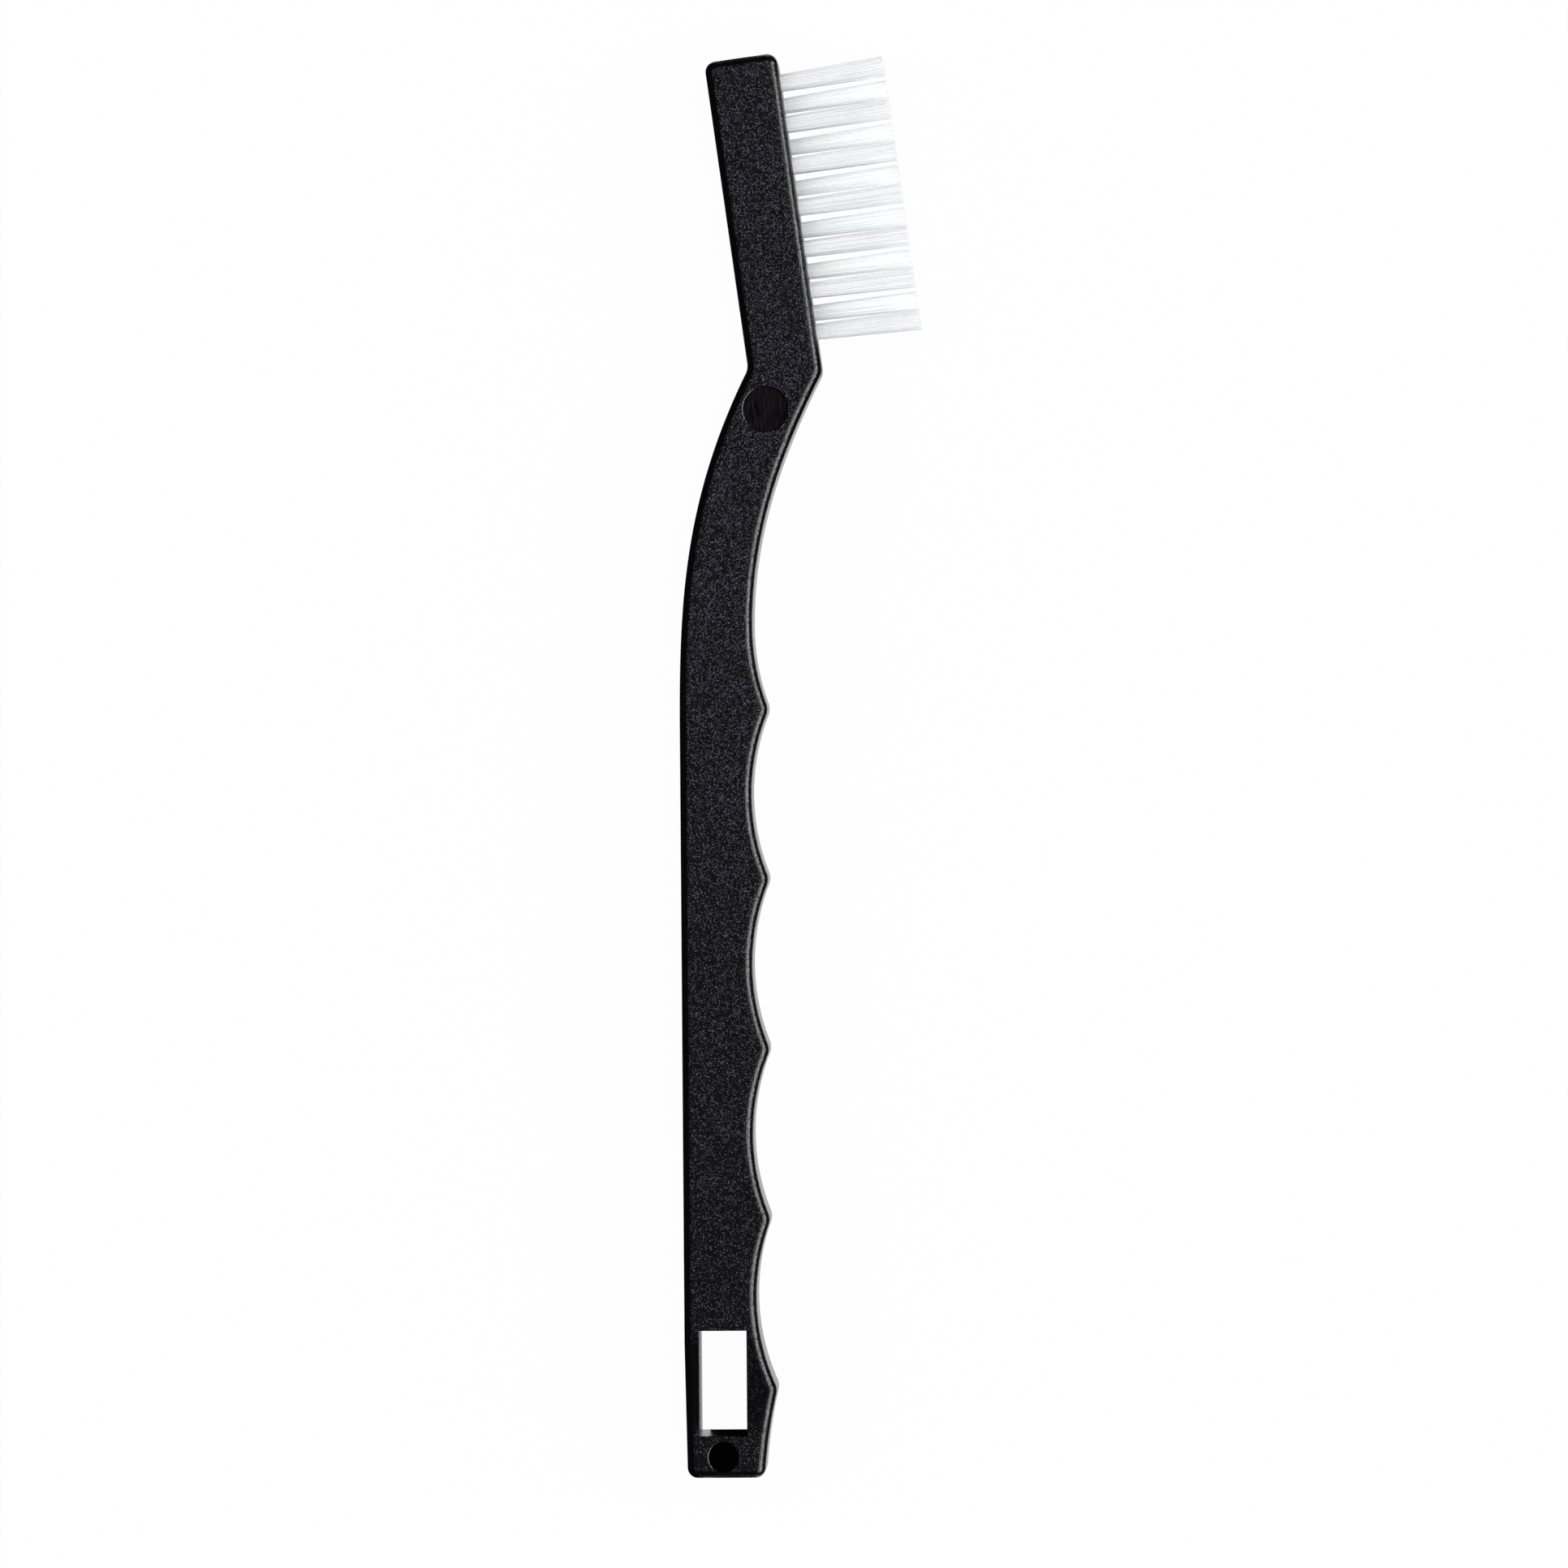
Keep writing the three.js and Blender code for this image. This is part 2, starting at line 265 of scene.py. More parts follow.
def middle_of(node):
    low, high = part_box(node)
    return (low + high) / 2


def anchor_nodes(row):
    names = [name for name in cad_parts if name.startswith(f"anchor_{row}_")]
    return sorted(names, key=lambda name: int(name.rsplit("_", 1)[1]))


def head_axes():
    outer = anchor_nodes("high")
    along = (middle_of(outer[-1]) - middle_of(outer[0])).normalized()
    out = along.cross(Vector((0, 0, 1)))
    return along, out


along_head, out_of_head = head_axes()


# Outline of the handle

def turned(point, centre, angle):
    return centre + Matrix.Rotation(angle, 2) @ (point - centre)


def hollow(start, end, radius, steps):
    """Points between the ends of an arc that hollows towards -X."""
    chord = end - start
    reach = math.sqrt(radius ** 2 - chord.length_squared / 4)
    centre = (start + end) / 2 + Vector((chord.y, -chord.x)).normalized() * reach
    sweep = 2 * math.asin(chord.length / (2 * radius))
    return [turned(start, centre, -sweep * step / steps) for step in range(1, steps)]


def ease(start, start_pull, end, end_pull, steps):
    """Points between the ends of a smooth curve that leaves and arrives along the given directions."""
    leaving = start + start_pull
    arriving = end - end_pull
    points = []
    for step in range(1, steps):
        t = step / steps
        s = 1 - t
        points.append(s ** 3 * start + 3 * s * s * t * leaving + 3 * s * t * t * arriving + t ** 3 * end)
    return points


def round_corner(before, corner, after, radius):
    back = (before - corner).normalized()
    onward = (after - corner).normalized()
    half = math.acos(back.dot(onward)) / 2
    start = corner + back * radius / math.tan(half)
    centre = corner + (back + onward).normalized() * radius / math.sin(half)
    side = math.copysign(1, onward.x * back.y - onward.y * back.x)
    turn = side * (math.pi - 2 * half)
    return [turned(start, centre, turn * step / CORNER_STEPS) for step in range(CORNER_STEPS + 1)]


def bend_points():
    """Corners where the neck meets the head, at the back and at the front, and the neck's direction."""
    along = along_head.to_2d()
    out = out_of_head.to_2d()
    along_neck = Vector((math.sin(NECK_ANGLE), math.cos(NECK_ANGLE)))
    top_ridge_height = TAIL_RIDGE.y + (RIDGE_COUNT - 1) * RIDGE_PITCH
    back_bend = Vector((NECK_OFFSET, top_ridge_height + WAIST_REACH + NECK_LENGTH))
    face_foot = back_bend + out * HEAD_DEPTH
    front_bend = face_foot - along * HEEL_DROP
    return back_bend, front_bend, along_neck


def handle_outline():
    """Side view, anticlockwise from the back of the tail."""
    back_bend, front_bend, along_neck = bend_points()
    along = along_head.to_2d()
    up = Vector((0, 1))
    ridges = [TAIL_RIDGE]
    for index in range(1, RIDGE_COUNT):
        depth = RIDGE_DEPTH + (index - 1) * RIDGE_GROWTH
        ridges.append(Vector((depth, TAIL_RIDGE.y + index * RIDGE_PITCH)))
    tail_back = Vector((TAIL_TAPER_INSET, 0))
    tail_front = Vector((TAIL_DEPTH, 0))
    waist = Vector((WAIST_DEPTH, ridges[-1].y + WAIST_REACH))
    tip_back = back_bend + along * HEAD_LENGTH
    tip_front = tip_back + out_of_head.to_2d() * HEAD_DEPTH
    grip_top = Vector((0, back_bend.y - NECK_BACK_LENGTH))
    taper_top = Vector((0, TAIL_TAPER_LENGTH))
    entry_rise = ridges[-1].x - WAIST_DEPTH
    entry_radius = (WAIST_REACH ** 2 + entry_rise ** 2) / (2 * entry_rise)

    stations = [(tail_back, CORNER_RADIUS), (tail_front, CORNER_RADIUS)]

    def run(points):
        stations.extend((point, None) for point in points)

    run(hollow(tail_front, ridges[0], TAIL_HOLLOW_RADIUS, CORNER_STEPS))
    for ridge, following in zip(ridges, ridges[1:]):
        stations.append((ridge, RIDGE_RADIUS))
        run(hollow(ridge, following, SCALLOP_RADIUS, SCALLOP_STEPS))
    stations.append((ridges[-1], RIDGE_RADIUS))
    run(hollow(ridges[-1], waist, entry_radius, SCALLOP_STEPS // 2))
    run([waist])
    run(ease(waist, up * NECK_FRONT_EASE, front_bend, along_neck * NECK_FRONT_EASE, NECK_STEPS))
    stations.append((front_bend, RIDGE_RADIUS))
    stations.append((tip_front, CORNER_RADIUS))
    stations.append((tip_back, CORNER_RADIUS))
    stations.append((back_bend, BACK_BEND_RADIUS))
    back_pull = along_neck * -NECK_BACK_EASE_AT_HEAD
    run(ease(back_bend, back_pull, grip_top, up * -NECK_BACK_EASE_AT_GRIP, NECK_STEPS))
    run([grip_top, taper_top])

    outline = []
    for index, (point, radius) in enumerate(stations):
        if radius is None:
            outline.append(point)
            continue
        after = stations[(index + 1) % len(stations)][0]
        outline.extend(round_corner(stations[index - 1][0], point, after, radius))
    return outline


def inset_outline(outline, inset):
    """The outline moved inwards by the same distance all round."""
    moved = []
    for index, point in enumerate(outline):
        arriving = (point - outline[index - 1]).normalized()
        leaving = (outline[(index + 1) % len(outline)] - point).normalized()
        first = Vector((-arriving.y, arriving.x))
        second = Vector((-leaving.y, leaving.x))
        moved.append(point + (first + second) * inset / (1 + first.dot(second)))
    return moved


# Meshes

class Builder:
    """Collects vertices and faces of one mesh, in metres."""

    def __init__(self):
        self.points = []
        self.faces = []

    def loft(self, rings):
        """Closed skin over a stack of rings that run anticlockwise seen from the last ring's side."""
        first = len(self.points)
        count = len(rings[0])
        for ring in rings:
            self.points.extend(ring)
        for level in range(len(rings) - 1):
            low = first + level * count
            for index in range(count):
                onward = (index + 1) % count
                self.faces.append((low + index, low + onward, low + count + onward, low + count + index))
        last = first + (len(rings) - 1) * count
        self.faces.append(tuple(range(first + count - 1, first - 1, -1)))
        self.faces.append(tuple(range(last, last + count)))

    def make(self, name):
        mesh = bpy.data.meshes.new(name)
        mesh.from_pydata([tuple(point) for point in self.points], [], self.faces)
        mesh.update()
        piece = bpy.data.objects.new(name, mesh)
        scene.collection.objects.link(piece)
        return piece


def handle_blank():
    outline = handle_outline()
    quarter = [math.pi / 2 * step / EDGE_STEPS for step in range(EDGE_STEPS + 1)]
    profile = [(1 - math.sin(angle), 1 - math.cos(angle)) for angle in quarter]
    lower = [(EDGE_RADIUS * inset, EDGE_RADIUS * rise) for inset, rise in profile]
    upper = [(inset, thickness - rise) for inset, rise in reversed(lower)]
    builder = Builder()
    rings = []
    for inset, height in lower + upper:
        rings.append([place(x, y, height) for x, y in inset_outline(outline, inset)])
    builder.loft(rings)
    return builder.make("handle_blank")


def circle(radius, sides):
    angles = [2 * math.pi * index / sides for index in range(sides)]
    return [Vector((radius * math.cos(angle), radius * math.sin(angle))) for angle in angles]


def mark_centres():
    back_bend, front_bend, along_neck = bend_points()
    neck = (back_bend + front_bend) / 2 - along_neck * NECK_MARK_SETBACK
    tail = Vector(((SLOT_BACK + SLOT_FRONT) / 2, SLOT_TAIL / 2))
    return [(neck, NECK_MARK_RADIUS), (tail, TAIL_MARK_RADIUS)]


def add_slot(builder):
    """Slot through the whole thickness, with its edges just broken."""
    flare = BROKEN_EDGE + CUT_OVERRUN
    lower = [(-CUT_OVERRUN, flare), (BROKEN_EDGE, 0)]
    upper = [(thickness - height, grow) for height, grow in reversed(lower)]
    rings = []
    for height, grow in lower + upper:
        low = Vector((SLOT_BACK - grow, SLOT_TAIL - grow))
        high = Vector((SLOT_FRONT + grow, SLOT_TOP + grow))
        corners = [(low.x, low.y), (high.x, low.y), (high.x, high.y), (low.x, high.y)]
        rings.append([place(x, y, height) for x, y in corners])
    builder.loft(rings)


def bore_levels(depth, radius, rim_depth, rim_width):
    """Depths and radii of a bore with a sloping rim, from its floor to outside the surface."""
    outside = radius + rim_width + CUT_OVERRUN * rim_width / rim_depth
    return [(-depth, radius), (-rim_depth, radius), (CUT_OVERRUN, outside)]


def add_mark(builder, centre, radius):
    rings = []
    for rise, reach in bore_levels(MARK_DEPTH, radius, MARK_RIM_DEPTH, MARK_RIM_WIDTH):
        ring = [centre + point for point in circle(reach, MARK_SIDES)]
        rings.append([place(x, y, thickness + rise) for x, y in ring])
    builder.loft(rings)


def tuft_feet(row):
    """Middle of each tuft at the bristle face."""
    return [middle_of(node) + out_of_head * ANCHOR_DEPTH * MM for node in anchor_nodes(row)]


def add_hole(builder, foot):
    up = Vector((0, 0, 1))
    rings = []
    for rise, reach in bore_levels(HOLE_DEPTH, HOLE_RADIUS, BROKEN_EDGE, BROKEN_EDGE):
        ring = [along_head * point.x + up * point.y for point in circle(reach, HOLE_SIDES)]
        rings.append([foot + (out_of_head * rise + offset) * MM for offset in ring])
    builder.loft(rings)


def handle_cutters():
    builder = Builder()
    add_slot(builder)
    for centre, radius in mark_centres():
        add_mark(builder, centre, radius)
    for row in ROWS:
        for foot in tuft_feet(row):
            add_hole(builder, foot)
    return builder.make("handle_cutters")


def baked(piece, name):
    """New object with the piece's modifiers applied; the piece itself goes."""
    graph = bpy.context.evaluated_depsgraph_get()
    mesh = bpy.data.meshes.new_from_object(piece.evaluated_get(graph))
    mesh.name = name
    bpy.data.objects.remove(piece)
    made = bpy.data.objects.new(name, mesh)
    scene.collection.objects.link(made)
    return made


def make_handle():
    blank = handle_blank()
    cutters = handle_cutters()
    cut = blank.modifiers.new("cut", "BOOLEAN")
    cut.object = cutters
    cut.solver = "EXACT"
    handle = baked(blank, "handle_moulding")
    bpy.data.objects.remove(cutters)
    handle.data.shade_smooth()
    handle.data.set_sharp_from_angle(angle=HANDLE_SHARP_ANGLE)
    weighted = handle.modifiers.new("flat_faces_lead", "WEIGHTED_NORMAL")
    weighted.keep_sharp = True
    handle = baked(handle, "handle_moulding")
    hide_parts("handle")
    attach(handle, "root")
    return handle


# Filaments of the tufts

def add_filament(builder, root, tip, bow, radius):
    """Slender round filament with a slightly domed tip."""
    axis = (tip - root).normalized()
    side = axis.cross(Vector((0, 0, 1))).normalized()
    other = axis.cross(side)
    levels = [(step / FILAMENT_STEPS, 1.0) for step in range(FILAMENT_STEPS + 1)]
    rings = []
    for share, reach in levels + [(1.0, FILAMENT_TIP_REACH)]:
        middle = root.lerp(tip, share) + bow * (share * share - share) * 4
        if reach < 1:
            middle += axis * radius * FILAMENT_TIP_RISE
        ring = circle(radius * reach, FILAMENT_SIDES)
        rings.append([middle + side * -point.x + other * point.y for point in ring])
    builder.loft(rings)


def add_tuft(builder, foot, lean, rng):
    up = Vector((0, 0, 1))
    reach = TUFT_RADIUS - FILAMENT_RADIUS
    drift = along_head * TRIM_LENGTH * math.tan(lean)
    golden_angle = math.pi * (3 - math.sqrt(5))
    start = rng.uniform(0, 2 * math.pi)
    for index in range(FILAMENTS_PER_TUFT):
        out = math.sqrt((index + 0.5) / FILAMENTS_PER_TUFT)
        angle = start + index * golden_angle
        across = (along_head * math.cos(angle) + up * math.sin(angle)) * out
        scatter = along_head * rng.gauss(0, TIP_SCATTER) + up * rng.gauss(0, TIP_SCATTER)
        bow = along_head * rng.gauss(0, BOW_SCATTER) + up * rng.gauss(0, BOW_SCATTER)
        length = TRIM_LENGTH - abs(rng.gauss(0, TRIM_SCATTER))
        root = across * reach - out_of_head * FILAMENT_ROOT
        tip = across * (reach + TIP_FLARE) + drift + scatter + out_of_head * length
        add_filament(builder, foot + root * MM, foot + tip * MM, bow * MM, FILAMENT_RADIUS * MM)


def make_bristle_row(row):
    rng = random.Random(f"bristles {row}")
    heel = tuft_feet("high")[0]
    span = (tuft_feet("high")[-1] - heel).length
    builder = Builder()
    for foot in tuft_feet(row):
        share = (foot - heel).dot(along_head) / span
        lean = LEAN_AT_HEEL + (LEAN_AT_TIP - LEAN_AT_HEEL) * share
        add_tuft(builder, foot, lean, rng)
    bristles = builder.make(f"bristle_filaments_{row}")
    bristles.data.shade_smooth()
    bristles.data.set_sharp_from_angle(angle=FILAMENT_SHARP_ANGLE)
    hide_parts(f"bristles_row_{row}")
    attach(bristles, "root")
    return bristles


# Materials

def new_material(name):
    material = bpy.data.materials.new(name)
    material.use_nodes = True
    material.node_tree.nodes.clear()
    return material, material.node_tree


def connect(tree, socket, value):
    if isinstance(value, bpy.types.NodeSocket):
        tree.links.new(value, socket)
    else:
        socket.default_value = value


def node(tree, kind, inputs=None, **settings):
    """New node with its settings, and with its inputs set to values or linked to other nodes' outputs."""
    made = tree.nodes.new(kind)
    for name, value in settings.items():
        setattr(made, name, value)
    for name, value in (inputs or {}).items():
        connect(tree, made.inputs[name], value)
    return made


def surface(tree, shader):
    node(tree, "ShaderNodeOutputMaterial", {"Surface": shader.outputs[0]})


def object_coordinates(tree):
    return node(tree, "ShaderNodeTexCoord").outputs["Object"]


def maths(tree, operation, *values):
    return node(tree, "ShaderNodeMath", dict(enumerate(values)), operation=operation).outputs[0]


def part_along(tree, vector, axis):
    return node(tree, "ShaderNodeSeparateXYZ", {0: vector}).outputs[axis]


def noise(tree, coordinates, size, detail=2.0, roughness=0.5):
    inputs = {"Vector": coordinates, "Scale": 1 / (size * MM), "Detail": detail, "Roughness": roughness}
    return node(tree, "ShaderNodeTexNoise", inputs).outputs["Fac"]


def drawn_out(tree, stretch, turn=0.0):
    """Coordinates in which a noise is drawn out into lines."""
    inputs = {"Vector": object_coordinates(tree), "Rotation": (0, 0, turn), "Scale": (1.0, stretch, 1.0)}
    return node(tree, "ShaderNodeMapping", inputs).outputs[0]


def remap(tree, value, low, high, to_low, to_high):
    inputs = {"Value": value, "From Min": low, "From Max": high, "To Min": to_low, "To Max": to_high}
    return node(tree, "ShaderNodeMapRange", inputs).outputs["Result"]


def colour_blend(tree, share, first, second):
    colours = {"Factor": share, "A": first, "B": second}
    made = tree.nodes.new("ShaderNodeMix")
    made.data_type = "RGBA"
    for socket in made.inputs:
        if socket.enabled and socket.name in colours:
            connect(tree, socket, colours[socket.name])
    return next(socket for socket in made.outputs if socket.enabled)


def bump(tree, height, depth, strength=1.0, over=None):
    """Normal of a surface with a pattern of heights, laid over another bump where one is given."""
    inputs = {"Height": height, "Distance": depth * MM, "Strength": strength}
    if over is not None:
        inputs["Normal"] = over
    return node(tree, "ShaderNodeBump", inputs).outputs[0]


def plastic(tree, colour, roughness, normal, shine):
    inputs = {"Base Color": colour, "Roughness": roughness, "Normal": normal,
              "IOR": PLASTIC_INDEX, "Specular IOR Level": shine}
    surface(tree, node(tree, "ShaderNodeBsdfPrincipled", inputs))


def level_share(tree):
    """How squarely a surface faces up or down: 1 on the two sides, 0 on the walls."""
    normal = node(tree, "ShaderNodeNewGeometry").outputs["Normal"]
    return maths(tree, "ABSOLUTE", part_along(tree, normal, "Z"))


def grain_cells(tree, coordinates):
    return node(tree, "ShaderNodeTexVoronoi", {"Vector": coordinates, "Scale": 1 / (GRAIN_SIZE * MM)})


def clear_of_slot(tree, coordinates):
    """0 beside the slot, 1 on the rest of the handle."""
    slot_middle = place(0, (SLOT_TAIL + SLOT_TOP) / 2, 0).y
    slot_half = (SLOT_TOP - SLOT_TAIL) / 2 * MM
    past_middle = maths(tree, "SUBTRACT", part_along(tree, coordinates, "Y"), slot_middle)
    from_middle = maths(tree, "ABSOLUTE", past_middle)
    return remap(tree, from_middle, slot_half - WEB_FADE * MM, slot_half, 0.0, 1.0)


def painted_grain_glints(tree, coordinates, cells):
    """How much painted glint each cell of the grain shows, as a pale fleck."""
    chance = node(tree, "ShaderNodeSeparateColor", {0: cells.outputs["Color"]}).outputs[0]
    along = part_along(tree, coordinates, "Y")
    fade_end = handle_low.y + PAINTED_GLINT_FADE_LENGTH * MM
    least_chance = remap(tree, along, handle_low.y, fade_end, 1 - PAINTED_GLINT_SHARE_AT_TAIL, 1 - PAINTED_GLINT_SHARE)
    painted_glints = remap(tree, chance, least_chance, 1.0, FAINTEST_PAINTED_GLINT, 1.0)
    # Fewer painted glints on the webs, fewest on the back one away from the light: painted shade
    across = part_along(tree, coordinates, "X")
    slot_back = place(SLOT_BACK, 0, 0).x
    slot_front = place(SLOT_FRONT, 0, 0).x
    painted_glints_on_webs = remap(tree, across, slot_back, slot_front, PAINTED_GLINTS_BEHIND_SLOT, PAINTED_GLINTS_BEFORE_SLOT)
    brightest = remap(tree, clear_of_slot(tree, coordinates), 0.0, 1.0, painted_glints_on_webs, 1.0)
    return maths(tree, "MULTIPLY", painted_glints, brightest)


# Black plastic with a slow drift of tone, and the grain's glints painted over it as pale flecks
def plastic_colour_with_painted_glints(tree, coordinates, painted_glints):
    flow = noise(tree, coordinates, FLOW_SIZE, detail=3.0)
    depth = colour_blend(tree, flow, PLASTIC_BLACK, PLASTIC_GREY)
    return colour_blend(tree, painted_glints, depth, PAINTED_GLINT_COLOUR)


def grained_plastic():
    """The two flat sides: black plastic with a fine eroded grain and its painted glints, smoother beside
    the slot.
    """
    material, tree = new_material("grained_black_plastic")
    coordinates = object_coordinates(tree)
    cells = grain_cells(tree, coordinates)
    colour = plastic_colour_with_painted_glints(tree, coordinates, painted_grain_glints(tree, coordinates, cells))
    roughness = remap(tree, clear_of_slot(tree, coordinates), 0.0, 1.0, WEB_ROUGHNESS, FACE_ROUGHNESS)
    pits = bump(tree, cells.outputs["Distance"], PIT_DEPTH)
    plastic(tree, colour, roughness, pits, SIDE_SHINE)
    return material


def satin_plastic():
    """Rounded edges and walls: the sides' grain and painted glints run out into a smooth, slightly uneven
    skin.
    """
    material, tree = new_material("satin_black_plastic")
    coordinates = object_coordinates(tree)
    cells = grain_cells(tree, coordinates)
    level = level_share(tree)
    pitted = remap(tree, level, *PITS_GROW, 0.0, 1.0)
    lumpy = remap(tree, level, *LUMPS_GROW, 0.0, 1.0)
    painted_glint_reach = remap(tree, level, *PAINTED_GLINTS_GROW, 0.0, 1.0)
    # Painted glints of the grain, fading out as the edge turns away from flat
    painted_glints = maths(tree, "MULTIPLY", painted_grain_glints(tree, coordinates, cells), painted_glint_reach)
    colour = plastic_colour_with_painted_glints(tree, coordinates, painted_glints)
    roughness = remap(tree, level, *WALL_TO_EDGE, WALL_ROUGHNESS, EDGE_ROUGHNESS)
    pits = bump(tree, cells.outputs["Distance"], PIT_DEPTH, pitted)
    lumps = bump(tree, noise(tree, coordinates, LUMP_SIZE), LUMP_DEPTH, lumpy, over=pits)
    plastic(tree, colour, roughness, lumps, EDGE_SHINE)
    return material


def ejector_mark_plastic(name, pale, roughness_range):
    """Floor of an ejector mark: the finely ground end of the pin, printed in the plastic."""
    material, tree = new_material(name)
    drawn = drawn_out(tree, PIN_LINE_STRETCH, PIN_LINE_ANGLE)
    lines = noise(tree, drawn, PIN_LINE_WIDTH, detail=3.0, roughness=0.6)
    scored = remap(tree, lines, *PIN_SCORE_RANGE, 0.0, 1.0)
    colour = colour_blend(tree, scored, MARK_BLACK, pale)
    roughness = remap(tree, lines, *NOISE_RANGE, *roughness_range)
    scores = bump(tree, lines, PIN_LINE_DEPTH, PIN_LINE_STRENGTH)
    plastic(tree, colour, roughness, scores, MARK_SHINE)
    return material


def nylon():
    """Milky white filament."""
    material, tree = new_material("bristle_nylon_white")
    patches = noise(tree, object_coordinates(tree), NYLON_PATCH)
    colour = colour_blend(tree, patches, NYLON_SHADE, NYLON_WHITE)
    roughness = remap(tree, patches, *NOISE_RANGE, *NYLON_ROUGHNESS)
    inputs = {"Base Color": colour, "Roughness": roughness,
              "IOR": NYLON_INDEX, "Specular IOR Level": NYLON_SHINE}
    surface(tree, node(tree, "ShaderNodeBsdfPrincipled", inputs))
    return material


def anchor_metal():
    """Nickel silver strip with fine rolling lines."""
    material, tree = new_material("anchor_nickel_silver")
    lines = noise(tree, drawn_out(tree, ROLLING_LINE_STRETCH), ROLLING_LINE_WIDTH, detail=3.0)
    colour = colour_blend(tree, lines, METAL_SHADE, METAL_BRIGHT)
    roughness = remap(tree, lines, *NOISE_RANGE, *METAL_ROUGHNESS)
    rolled = bump(tree, lines, ROLLING_LINE_DEPTH, ROLLING_LINE_STRENGTH)
    inputs = {"Base Color": colour, "Metallic": 1.0, "Roughness": roughness, "Normal": rolled}
    surface(tree, node(tree, "ShaderNodeBsdfPrincipled", inputs))
    return material


def finish_of(face):
    """Which finish a face of the handle has."""
    mark_floor = place(0, 0, thickness - MARK_DEPTH).z
    if abs(face.normal.z) < FLAT_LEVEL:
        return "satin"
    if abs(face.center.z - mark_floor) > MARK_FLOOR_TOLERANCE * MM:
        return "grained"
    if face.center.y > place(0, SLOT_TOP, 0).y:
        return "ground"
    return "polished"


def paint_handle(handle):
    """Satin edges and walls, grained sides, and on the floor of each mark the finish of its pin."""
    finishes = {
        "satin": satin_plastic(),
        "grained": grained_plastic(),
        "ground": ejector_mark_plastic("ground_mark_plastic", GROUND_COLOUR, GROUND_ROUGHNESS),
        "polished": ejector_mark_plastic("polished_mark_plastic", POLISHED_COLOUR, POLISHED_ROUGHNESS)}
    handle.data.materials.clear()
    for material in finishes.values():
        handle.data.materials.append(material)
    order = list(finishes)
    for face in handle.data.polygons:
        face.material_index = order.index(finish_of(face))


# Floor, light and camera

def glow_share(tree):
    """How much of the floor is plain white where it is seen: straight, through glass or mirrored."""
    rays = node(tree, "ShaderNodeLightPath").outputs
    straight = maths(tree, "MAXIMUM", rays["Is Camera Ray"], rays["Is Transmission Ray"])
    seen = maths(tree, "MAXIMUM", straight, rays["Is Glossy Ray"])
    return maths(tree, "MULTIPLY", seen, FLOOR_GLOW_SEEN)


def make_sheet(name, left, right, height, material):
    """Level sheet that runs far past both ends of the brush."""
    half = FLOOR_SIZE / 2
    corners = [(left, -half, height), (right, -half, height), (right, half, height), (left, half, height)]
    mesh = bpy.data.meshes.new(name)
    mesh.from_pydata(corners, [], [(0, 1, 2, 3)])
    mesh.materials.append(material)
    sheet = bpy.data.objects.new(name, mesh)
    scene.collection.objects.link(sheet)
    return sheet


def make_floor():
    material, tree = new_material("white_floor")
    paper = noise(tree, object_coordinates(tree), PAPER_CLOUD)
    colour = colour_blend(tree, paper, PAPER_SHADE, PAPER_WHITE)
    lit = node(tree, "ShaderNodeBsdfDiffuse", {"Color": colour}).outputs[0]
    glow = node(tree, "ShaderNodeEmission", {"Color": WHITE, "Strength": 1.0}).outputs[0]
    surface(tree, node(tree, "ShaderNodeMixShader", {0: glow_share(tree), 1: lit, 2: glow}))
    half = FLOOR_SIZE / 2
    make_sheet("floor", -half, half, -FLOOR_GAP * MM, material)


def make_dark_cards():
    """Cards on the floor that only reflections see, so that the edges of the handle stay dark."""
    material, tree = new_material("dark_card")
    surface(tree, node(tree, "ShaderNodeBsdfDiffuse", {"Color": CARD_BLACK}))
    far = FLOOR_SIZE / 2 / MM
    edges = [-far, *BARE_BESIDE_SLOT_WALL, *BARE_BEFORE_GRIP, far]
    for number, (left, right) in enumerate(zip(edges[::2], edges[1::2]), 1):
        low = place(left, 0, 0).x
        high = place(right, 0, 0).x
        card = make_sheet(f"dark_card_{number}", low, high, -FLOOR_GAP * MM / 2, material)
        card.visible_camera = False
        card.visible_diffuse = False
        card.visible_transmission = False
        card.visible_shadow = False


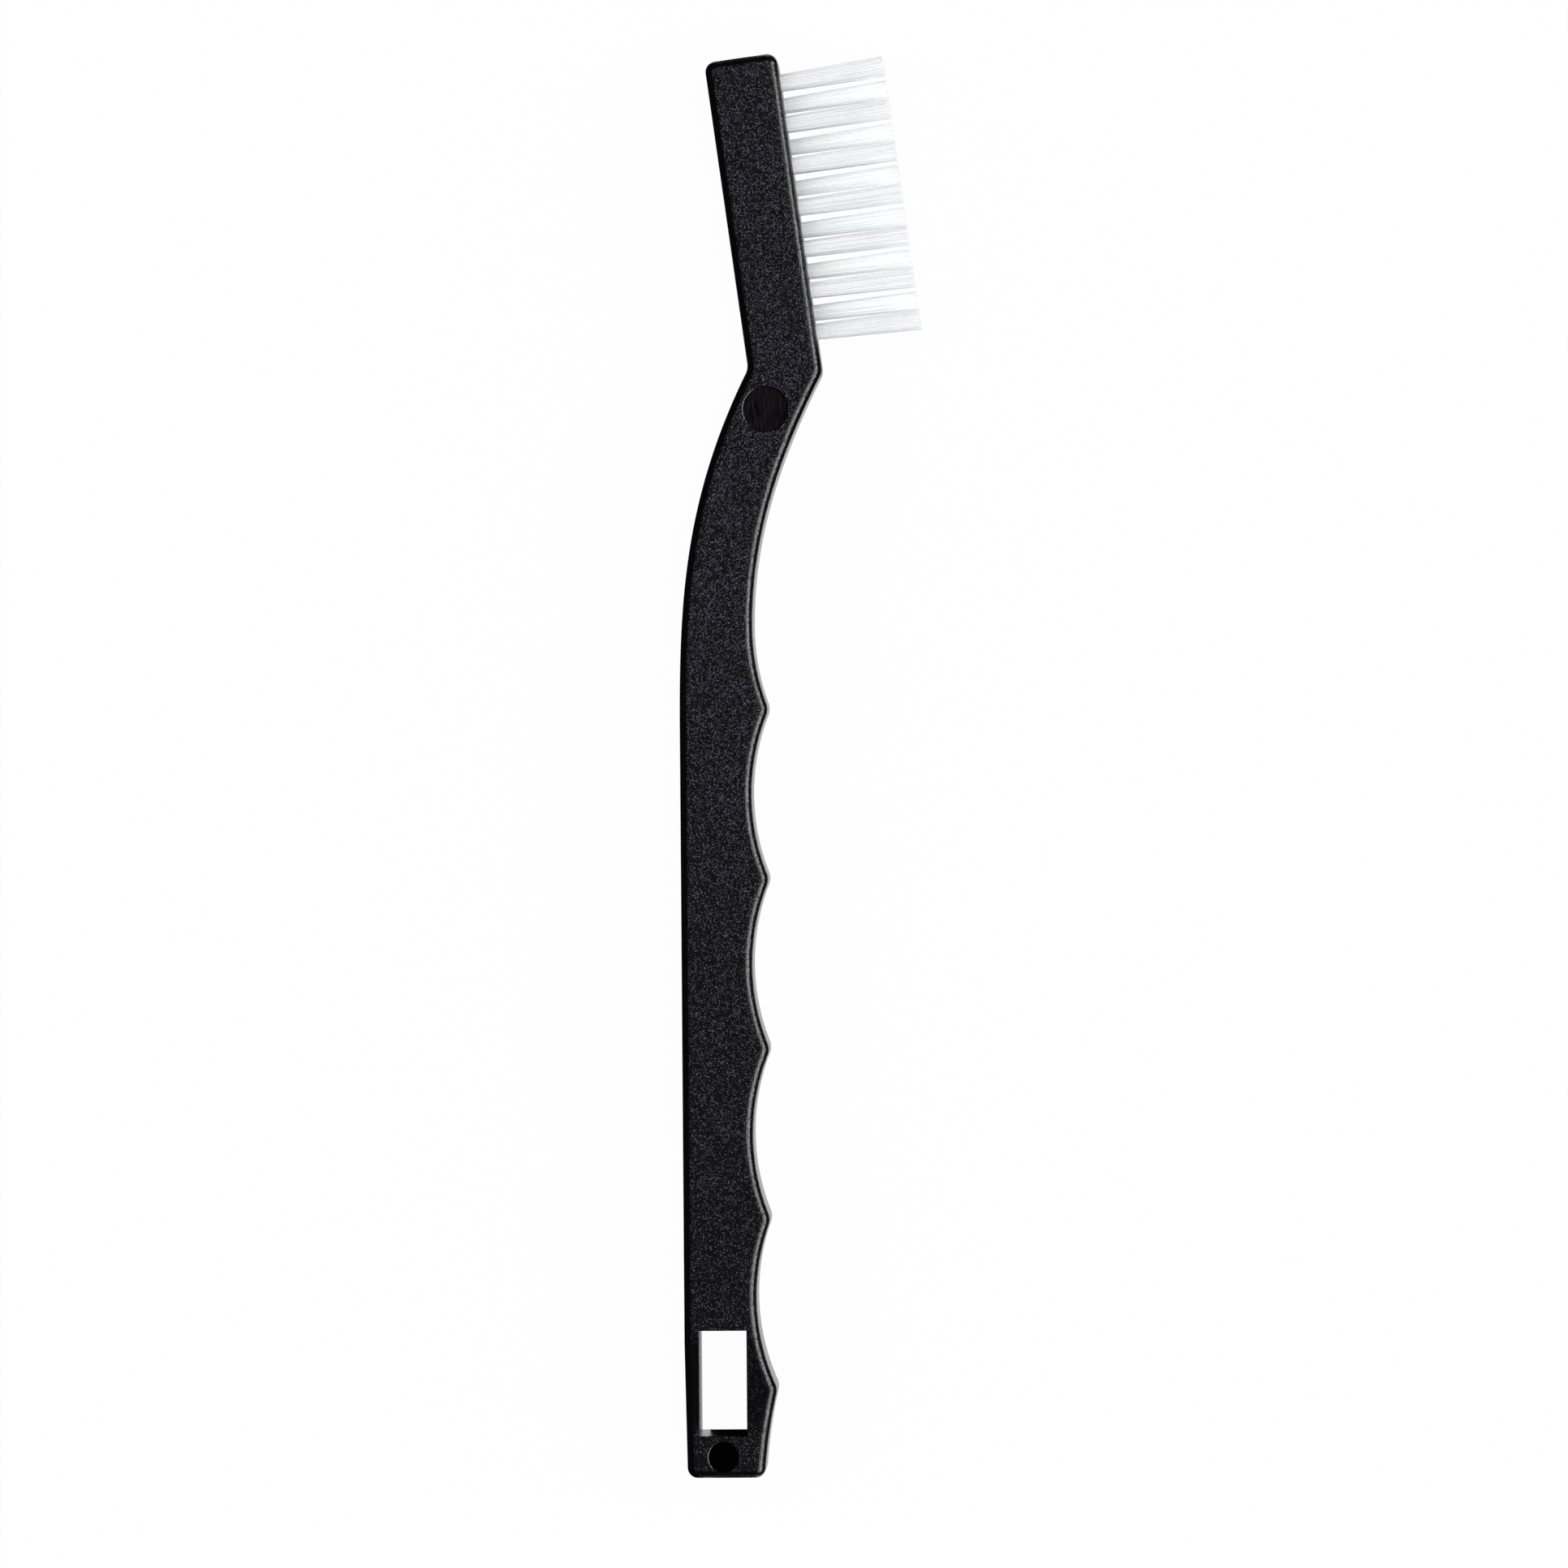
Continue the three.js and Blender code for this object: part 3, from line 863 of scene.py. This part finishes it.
def make_world():
    """Soft band of light across the handle, more of it from the bristles' side. Reflections see less."""
    world = bpy.data.worlds.new("studio")
    world.use_nodes = True
    tree = world.node_tree
    tree.nodes.clear()
    direction = node(tree, "ShaderNodeTexCoord").outputs["Generated"]
    rightward = part_along(tree, direction, "X")
    endward = part_along(tree, direction, "Y")
    overhead = remap(tree, maths(tree, "MULTIPLY", endward, endward), 0.0, 1.0, 1.0, 0.0)
    band = maths(tree, "POWER", overhead, DOME_NARROWING)
    leaning = maths(tree, "MULTIPLY_ADD", rightward, DOME_LEAN, DOME_OVERHEAD)
    soft = maths(tree, "MULTIPLY", band, leaning)
    mirrored = remap(tree, rightward, DOME_MIRRORED_FROM, 1.0, 0.0, DOME_MIRRORED)
    reflected = node(tree, "ShaderNodeLightPath").outputs["Is Glossy Ray"]
    strength = remap(tree, reflected, 0.0, 1.0, soft, mirrored)
    dome = node(tree, "ShaderNodeBackground", {"Color": WHITE, "Strength": strength})
    node(tree, "ShaderNodeOutputWorld", {"Surface": dome.outputs[0]})
    scene.world = world


def make_key_strip():
    """Strip light that only reflections see, for the highlights along the edges on the bristles' side."""
    level = Vector((math.cos(KEY_TURN), math.sin(KEY_TURN), 0))
    direction = level * math.sin(KEY_TILT) + Vector((0, 0, math.cos(KEY_TILT)))
    low, high = cad_box
    target = (low + high) / 2
    spot = target + direction * KEY_DISTANCE
    light = bpy.data.lights.new("key_softbox", "AREA")
    light.shape = "RECTANGLE"
    light.size = KEY_LENGTH
    light.size_y = KEY_WIDTH
    light.energy = KEY_POWER
    strip = bpy.data.objects.new("key_softbox", light)
    scene.collection.objects.link(strip)
    strip.location = spot
    strip.rotation_mode = "QUATERNION"
    strip.rotation_quaternion = (target - spot).to_track_quat("-Z", "Y")
    strip.visible_camera = False
    strip.visible_diffuse = False


def make_camera():
    """Nearly straight down on the brush, from a little to the bristles' side."""
    turn = Euler((-VIEW_NOD, VIEW_TILT, -VIEW_ROLL)).to_matrix()
    eye = place(*VIEW_CENTRE) + turn.col[2] * VIEW_DISTANCE * MM
    data = bpy.data.cameras.new("photo_camera")
    data.sensor_width = SENSOR
    data.lens = SENSOR * VIEW_DISTANCE / (PHOTO_SIZE * PIXEL_SIZE)
    data.clip_start = NEAREST_SEEN
    data.clip_end = FURTHEST_SEEN
    camera = bpy.data.objects.new("photo_camera", data)
    scene.collection.objects.link(camera)
    camera.matrix_world = Matrix.Translation(eye) @ turn.to_4x4()
    scene.camera = camera


handle = make_handle()
paint_handle(handle)
bristle_material = nylon()
for row in ROWS:
    make_bristle_row(row).data.materials.append(bristle_material)
anchor_material = anchor_metal()
for row in ROWS:
    for name in anchor_nodes(row):
        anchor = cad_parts[name]
        anchor.data.materials.clear()
        anchor.data.materials.append(anchor_material)

make_floor()
make_dark_cards()
make_world()
make_key_strip()
make_camera()
scene.view_settings.view_transform = "Standard"
scene.cycles.diffuse_bounces = LIGHT_BOUNCES
scene.cycles.max_bounces = LIGHT_BOUNCES
